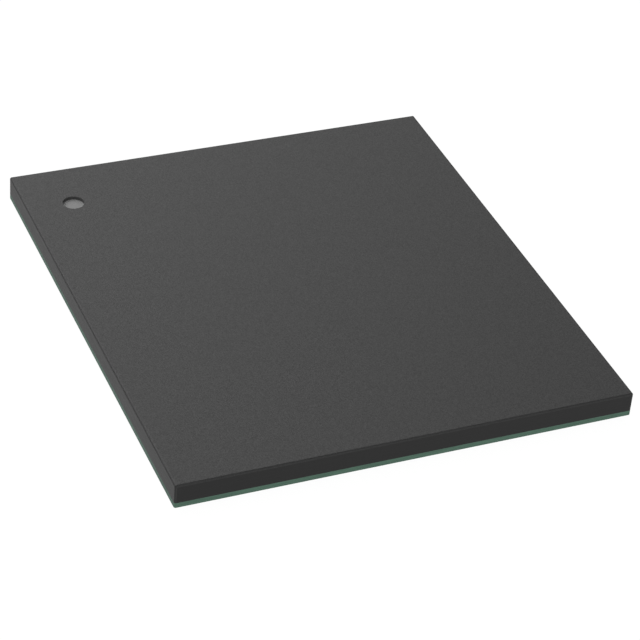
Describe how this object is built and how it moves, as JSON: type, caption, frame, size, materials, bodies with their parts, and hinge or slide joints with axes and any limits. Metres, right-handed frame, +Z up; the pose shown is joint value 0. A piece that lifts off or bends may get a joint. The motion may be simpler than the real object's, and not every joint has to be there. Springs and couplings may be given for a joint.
{
  "type": "memory chip",
  "caption": "Thin memory chip with a dark moulded body on a green laminate substrate, a round index recess on top and a grid of solder balls underneath.",
  "frame": {"origin": "middle of the seating plane, which the lowest points of the solder balls lie in", "axes": "+X along the width, +Y along the length towards the index corner's back edge, +Z up out of the top face"},
  "size_m": [0.0116, 0.013, 0.0008],
  "materials": {
    "moulding": "fine-grained matt moulding compound",
    "index_ink": "matt grey ink",
    "laminate": "green solder mask over glass and resin laminate",
    "copper": "bare copper",
    "solder": "satin tin solder",
    "gold": "gold",
    "silicon": "polished silicon",
    "die_film": "adhesive film"
  },
  "bodies": {
    "root": {"mould_cap": "moulding", "index_mark": "index_ink", "substrate": "laminate", "ball_lands": "copper", "solder_balls": "solder", "bond_fingers": "gold", "controller_die": "silicon", "controller_film": "die_film", "controller_wires": "gold", "memory_die_1": "silicon", "memory_die_2": "silicon", "memory_die_3": "silicon", "memory_die_4": "silicon", "memory_film_1": "die_film", "memory_film_2": "die_film", "memory_film_3": "die_film", "memory_film_4": "die_film", "memory_wires_1": "gold", "memory_wires_2": "gold", "memory_wires_3": "gold", "memory_wires_4": "gold"}
  },
  "joints": []
}
